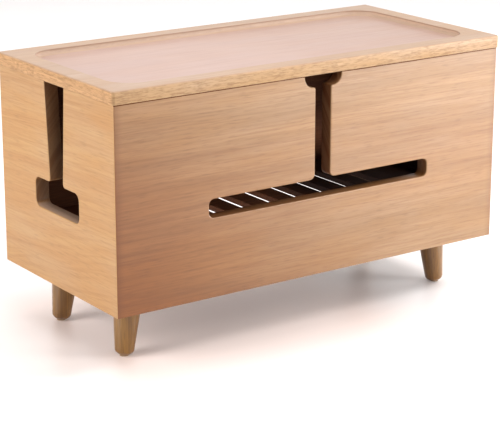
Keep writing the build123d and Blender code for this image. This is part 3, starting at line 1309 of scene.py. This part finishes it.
@dataclass
class SlottedFloor:
    """The thin dark floor with its row of slots across it."""

    half_length: float = 190.5
    half_depth: float = 85.5
    under: float = 88.0
    thickness: float = 5.0
    slots: int = 10
    pitch: float = 29.4
    slot_width: float = 11.7
    slot_length: float = 124.0
    slot_flat: float = 0.02
    slot_steps: int = 10

    def build(self, stained: Material) -> None:
        """Cuts the slots through Geometry Nodes and seats the board.

        Args:
            stained: The board's finish.
        """
        values = {
            "Length": 2 * self.half_length,
            "Depth": 2 * self.half_depth,
            "Thickness": self.thickness,
            "Height": self.under,
            "Slots": self.slots,
            "Slot width": self.slot_width,
            "Slot length": self.slot_length,
            "Slot radius": self.slot_width / 2 - self.slot_flat,
            "Slot steps": self.slot_steps,
            "First": -self.pitch * (self.slots - 1) / 2,
            "Pitch": self.pitch,
            "Finish": stained,
        }
        recipe = GeometryRecipe("cut_floor", values)
        put, wires = recipe.put, recipe.inputs
        kind = "GeometryNodeCurvePrimitiveQuadrilateral"
        board = put(kind, {"Width": wires["Length"], "Height": wires["Depth"]})
        slot = put(kind, {"Width": wires["Slot width"], "Height": wires["Slot length"]})
        ends = {"Radius": wires["Slot radius"], "Count": wires["Slot steps"]}
        slot = put("GeometryNodeFilletCurve", {0: slot, **ends}, mode="POLY")
        row = {
            "Count": wires["Slots"],
            "Start Location": put("ShaderNodeCombineXYZ", {"X": wires["First"]}),
            "Offset": put("ShaderNodeCombineXYZ", {"X": wires["Pitch"]}),
        }
        slots = recipe.repeated(put("GeometryNodeMeshLine", row), slot)
        loose = put("GeometryNodeRealizeInstances", {0: slots})
        outlines = put("GeometryNodeJoinGeometry", {0: [board, loose]})
        under = put("GeometryNodeFillCurve", {0: outlines})
        raised = {"Offset Scale": wires["Thickness"], "Individual": False}
        thick = put("GeometryNodeExtrudeMesh", {"Mesh": under, **raised})
        under = put("GeometryNodeFlipFaces", {0: under})
        closed = put("GeometryNodeJoinGeometry", {0: [thick, under]})
        piece = recipe.make("slotted_floor", recipe.raised(closed))
        seat(piece, BOX_BODY, "floor_board", "floor_panel")


@dataclass
class SplayedLegs:
    """Four turned legs that lean outwards, sawn level at both ends, and their pads."""

    foot_x: float = 170.0
    foot_y: float = 53.6
    splay_x: float = 6.3
    splay_y: float = 2.0
    top_radius: float = 14.9
    foot_radius: float = 7.8
    foot_round: float = 5.0
    seat_z: float = 75.0
    spare: float = 4.0
    waste: Point2 = (0.6, 2.0)
    pad_radius: float = 3.8
    pad_height: float = 1.5
    sides: int = 64
    bands: int = 12

    def profile(self, lean_x: float, lean_y: float) -> list[Point2]:
        """Draws a leg's outline along its axis.

        Args:
            lean_x: How far it leans sideways, in radians.
            lean_y: How far it leans to the front or back, in radians.

        Returns:
            Pairs of a radius and its place on the axis, from the foot up.
        """
        axis_top = self.seat_z / math.cos(lean_x) / math.cos(lean_y)
        taper = (self.top_radius - self.foot_radius) / axis_top
        low = self.pad_height - self.pad_radius * math.sin(lean_x)
        profile = [(radius, low) for radius in self.waste]
        inner = self.foot_radius + taper * low - self.foot_round
        for cos, sin in quarter(8):
            radius = inner + (1 + taper) * self.foot_round * sin
            profile.append((radius, low + self.foot_round * (1 - cos)))
        start = low + self.foot_round
        for band in range(1, self.bands + 1):
            z = start + (axis_top + self.spare - start) * band / self.bands
            profile.append((self.foot_radius + taper * z, z))
        return profile

    def leg(self, sx: int, sy: int, name: str) -> Piece:
        """Turns one leg and saws it level.

        Args:
            sx: 1 for the right, -1 for the left.
            sy: 1 for the back, -1 for the front.
            name: The object's name.

        Returns:
            The leg in place.
        """
        lean_x, lean_y = math.radians(self.splay_x), math.radians(self.splay_y)
        cos_x, sin_x = math.cos(lean_x), -sx * math.sin(lean_x)
        cos_y, sin_y = math.cos(lean_y), sy * math.sin(lean_y)
        rings = []
        for radius, along in self.profile(lean_x, lean_y):
            ring = []
            for side in range(self.sides):
                turn = math.tau * side / self.sides
                x, y = radius * math.cos(turn), radius * math.sin(turn)
                z = along * cos_x - x * sin_x
                x = sx * self.foot_x + x * cos_x + along * sin_x
                ring.append(
                    (x, sy * self.foot_y + y * cos_y - z * sin_y, y * sin_y + z * cos_y)
                )
            rings.append(ring)
        bm = loft(rings)
        for z, up in ((self.seat_z, 1), (self.pad_height, -1)):
            plane = {"plane_co": (0, 0, z), "plane_no": (0, 0, up), "clear_outer": True}
            everything = bm.verts[:] + bm.edges[:] + bm.faces[:]
            cut = bmesh.ops.bisect_plane(bm, geom=everything, **plane)["geom_cut"]
            edges = [part for part in cut if isinstance(part, bmesh.types.BMEdge)]
            bmesh.ops.contextual_create(bm, geom=edges)
        return keep(bm, name, 40.0)

    def pads(self, rubber: Material) -> Piece:
        """Sets the four foot pads through Geometry Nodes.

        Args:
            rubber: Their finish.

        Returns:
            The four pads as one piece.
        """
        values = {
            "Apart X": 2 * self.foot_x,
            "Apart Y": 2 * self.foot_y,
            "Height": self.pad_height / 2,
            "Radius": self.pad_radius,
            "Thickness": self.pad_height,
            "Sides": self.sides // 2,
            "Finish": rubber,
        }
        recipe = GeometryRecipe("set_pads", values)
        wires = recipe.inputs
        size = {"Radius": wires["Radius"], "Depth": wires["Thickness"]}
        cylinder = {"Vertices": wires["Sides"], **size}
        pad = recipe.put("GeometryNodeMeshCylinder", cylinder)
        return recipe.make("foot_pad_set", recipe.at_corners(pad))

    def build(self, wood: Material, rubber: Material) -> None:
        """Builds and seats the legs and their pads.

        Args:
            wood: The legs' finish.
            rubber: The pads' finish.
        """
        for sy, end in ((-1, "front"), (1, "back")):
            for sx, side in ((-1, "left"), (1, "right")):
                node = f"leg_{end}_{side}"
                piece = self.leg(sx, sy, f"turned_{node}")
                dress(piece, wood)
                seat(piece, BOX_BODY, "leg_wood", node)
        seat(self.pads(rubber), BOX_BODY, "pad_rubber", "foot_pads")


# ---- studio --------------------------------------------------------------------------


@dataclass(frozen=True)
class SoftBox:
    """An oblong light that faces the middle of the object.

    Attributes:
        name: The light's name.
        place: Where it hangs, in metres.
        size: Its width and height, in metres.
        power: Its power in watts.
        aim: The point it faces.
    """

    name: str
    place: Point3
    size: Point2
    power: float
    aim: Point3 = (0.0, 0.0, 0.12)

    def hang(self) -> None:
        """Hangs the light."""
        light = bpy.data.lights.new(self.name, "AREA")
        light.shape = "RECTANGLE"
        light.size, light.size_y = self.size
        light.energy = self.power
        lamp = link(bpy.data.objects.new(self.name, light))
        lamp.location = self.place
        aim = Vector(self.aim) - Vector(self.place)
        lamp.rotation_euler = aim.to_track_quat("-Z", "Y").to_euler()


@dataclass(frozen=True)
class GroundFinish:
    """Smooth pale floor, tinted under the box with painted bounce light from its wood.

    Attributes:
        name: The material's name.
        tones: The two tones of the floor at large.
        bounce_tone: The painted bounce light's tone under the box.
        middle: Where the painted tint's middle is along the box, in millimetres.
        along: How far from there the painted tint begins and ends to fade.
        across: How far from the box's middle it does to the front and back.
    """

    name: str = "studio_floor"
    tones: tuple[Rgba, Rgba] = (colour(252, 247, 246), colour(250, 244, 242))
    bounce_tone: Rgba = colour(249, 231, 223)
    middle: float = -60.0
    along: Point2 = (100.0, 200.0)
    across: Point2 = (90.0, 165.0)

    def material(self) -> Material:
        """Writes the material: two cloudy tones, and the painted tint under the box.

        Returns:
            The material.
        """
        sheet = ShaderSheet(self.name)
        x, y, _ = sheet.position()
        cloud = sheet.noise(sheet.vector(x, y, 0.0), 0.01)
        along = 1.0 - abs(x - self.middle).span(*self.along)
        across = 1.0 - abs(y).span(*self.across)
        tone = sheet.mix(cloud, *self.tones)
        # Paints bounce light from the box's wood into the floor's tone under the box.
        tone = sheet.mix(along * across, tone, self.bounce_tone)
        surface = {"Base Color": tone, "Roughness": 0.35, "Specular IOR Level": 0.3}
        return sheet.finish(surface, cloud, 0.0)


@dataclass
class Studio:
    """Floor, light and camera."""

    floor_half: float = 6.0
    lights: tuple[SoftBox, ...] = (
        SoftBox("overhead_box", (0.2, 0.7, 1.9), (2.4, 2.4), 23.1),
        SoftBox("back_box", (1.2, 1.9, 0.6), (2.5, 0.8), 8.4),
        SoftBox("left_box", (-1.7, 0.3, 0.8), (1.0, 1.2), 29.0),
        SoftBox("right_box", (1.5, 0.1, 0.9), (0.8, 0.8), 9.3),
        SoftBox("right_low_box", (1.3, 0.35, 0.2), (0.4, 0.3), 4.5),
        SoftBox("front_box", (-0.3, -1.6, 1.6), (1.0, 1.0), 15.0),
        SoftBox("low_box", (0.9, -0.9, 0.22), (0.5, 0.3), 11.1),
        SoftBox("high_box", (0.55, -0.5, 0.85), (0.35, 0.35), 5.6),
    )
    world: float = 0.235
    camera_place: Point3 = (-0.8991, -1.2781, 0.5477)
    camera_tilt: float = 73.48
    camera_azimuth: float = 35.01
    lens: float = 130.55
    sensor: float = 36.0
    clips: Point2 = (0.05, 50.0)

    def ground(self) -> None:
        """Lays the pale floor."""
        bm = bmesh.new()
        size = self.floor_half / MM
        bmesh.ops.create_grid(bm, x_segments=1, y_segments=1, size=size)
        floor = keep(bm, "floor_sheet", 35.0)
        dress(floor, GroundFinish().material())
        floor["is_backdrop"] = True

    def light(self) -> None:
        """Hangs the lights and sets the even light all round."""
        for light in self.lights:
            light.hang()
        world = bpy.data.worlds.new("studio_world")
        world.use_nodes = True
        background = world.node_tree.nodes["Background"]
        background.inputs["Color"].default_value = (1.0, 1.0, 1.0, 1.0)
        background.inputs["Strength"].default_value = self.world
        bpy.context.scene.world = world
        bpy.context.scene.view_settings.view_transform = "Standard"

    def camera(self) -> None:
        """Sets the camera up at its place and makes it the scene's."""
        data = bpy.data.cameras.new("camera")
        data.lens, data.sensor_width = self.lens, self.sensor
        data.clip_start, data.clip_end = self.clips
        camera = link(bpy.data.objects.new("camera", data))
        camera.location = self.camera_place
        azimuth = math.radians(self.camera_azimuth)
        camera.rotation_euler = (math.radians(self.camera_tilt), 0.0, -azimuth)
        bpy.context.scene.camera = camera

    def build(self) -> None:
        """Builds the whole studio."""
        self.ground()
        self.light()
        self.camera()


# ---- the box's own finishes ----------------------------------------------------------

# Height above which the panels' eased top edge gets a painted shadow line under the lid.
SHADOW_LINE_Z = 224.95
# The lid gets a painted sheen, painted light on its tray's slopes, and painted shade to
# the right.
LID_WOOD = BeechFinish(
    "beech_lid",
    Grain.LENGTH,
    (-20.0, -400.0),
    pale=colour(184, 154, 122),
    body=colour(176, 144, 111),
    line=colour(158, 124, 88),
    cut=colour(201, 157, 111),
    shade_span=(150.0, 480.0),
    deep=colour(235, 232, 226),
    seed=31.0,
    slant=0.012,
    flecks=0.1,
    figure=0.2,
    speckled=0.4,
    sheen_share=0.4,
    routed=(184.5, 79.5),
    slope_light=0.65,
    shine=0.25,
    coat=0.05,
)
# The front is given painted shade towards its lower left.
FRONT_WOOD = BeechFinish(
    "beech_front",
    Grain.LENGTH,
    (260.0, -40.0),
    pale=colour(161, 124, 86),
    body=colour(146, 110, 73),
    line=colour(125, 85, 47),
    fleck=colour(104, 68, 38),
    seed=210.0,
    slant=0.003,
    wander=0.8,
    end_darkening=200.0,
    shade_span=(190.0, -150.0),
    band=(140.0, 62.0),
    outer=95.0,
    wall_shade=0.6,
    spared=0.25,
    shadow_line=SHADOW_LINE_Z,
)
BACK_WOOD = BeechFinish(
    "beech_back", Grain.LENGTH, (-180.0, 330.0), seed=470.0, shadow_line=SHADOW_LINE_Z, outer=95.0
)
# The left end gets painted light on its keyhole's sill.
LEFT_WOOD = BeechFinish(
    "beech_left",
    Grain.DEPTH,
    (90.0, -60.0),
    pale=colour(183, 144, 97),
    body=colour(176, 133, 86),
    line=colour(159, 113, 67),
    golden=colour(255, 246, 222),
    seed=640.0,
    slant=0.05,
    wander=2.2,
    flecks=0.2,
    figure=0.45,
    outer=200.0,
    sill_light=0.85,
)
RIGHT_WOOD = BeechFinish(
    "beech_right", Grain.DEPTH, (-60.0, 300.0), seed=820.0, shadow_line=SHADOW_LINE_Z, outer=200.0
)
LEG_WOOD = BeechFinish(
    "beech_legs",
    Grain.HEIGHT,
    (120.0, 60.0),
    pale=colour(142, 100, 34),
    body=colour(117, 78, 23),
    line=colour(88, 53, 10),
    fleck=colour(65, 37, 6),
    seed=905.0,
    gloss=0.3,
    coat=0.4,
)
HIDDEN_WOOD = BeechFinish(
    "beech_hidden", Grain.LENGTH, (40.0, -30.0), seed=77.0, gloss=0.6, coat=0.0
)
# The inner faces get painted shade towards the right end of the box.
STAINED_INSIDE = StainedBoardFinish(
    "stained_inside",
    stain=colour(90, 50, 28),
    raised=colour(109, 64, 39),
    deep=colour(98, 84, 76),
    shade_span=(150.0, 186.0),
)
# The floor board gets painted shade towards the right.
STAINED_FLOOR = StainedBoardFinish("stained_floor")
STEEL = MetalFinish("zinc_steel", colour(176, 178, 182), colour(140, 142, 146))
BRASS = MetalFinish("bare_brass", colour(206, 172, 104), colour(164, 130, 70))
RUBBER = RubberFinish("foot_rubber")


def dress_hidden(frame: dict, wood: Material, steel: Material, brass: Material) -> None:
    """Gives the CAD nodes that stay as they are their finishes.

    Args:
        wood: For the rails, splines and dowels.
        steel: For the hanger bolts.
        brass: For the inserts.
    """
    finishes = {
        "left_leg_rail": wood,
        "right_leg_rail": wood,
        "mitre_splines": wood,
        "rail_dowels": wood,
        "hanger_bolts": steel,
        "leg_inserts": brass,
    }
    for name, material in finishes.items():
        dress(frame["nodes"][name], material)
        LOG.info("dressed %s", name)


def corners(bounds: Iterable[Vector]) -> list[list[float]]:
    """Writes two corners as plain lists."""
    return [list(corner) for corner in bounds]


def main() -> None:
    logging.basicConfig(level=logging.INFO, format="%(name)s: %(message)s")
    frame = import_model()
    packed = corners(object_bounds())

    hidden_wood, steel = HIDDEN_WOOD.material(), STEEL.material()
    woods = {
        Turn.FRONT: FRONT_WOOD.material(),
        Turn.BACK: BACK_WOOD.material(),
        Turn.LEFT: LEFT_WOOD.material(),
        Turn.RIGHT: RIGHT_WOOD.material(),
    }
    LidUnit().build(frame, LID_WOOD.material(), hidden_wood, steel)
    Carcass().build(woods, STAINED_INSIDE.material())
    SlottedFloor().build(STAINED_FLOOR.material())
    SplayedLegs().build(LEG_WOOD.material(), RUBBER.material())
    dress_hidden(frame, hidden_wood, steel, BRASS.material())
    Studio().build()

    {"cad": packed, "visual": corners(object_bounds())}


if __name__ == "__main__":
    main()
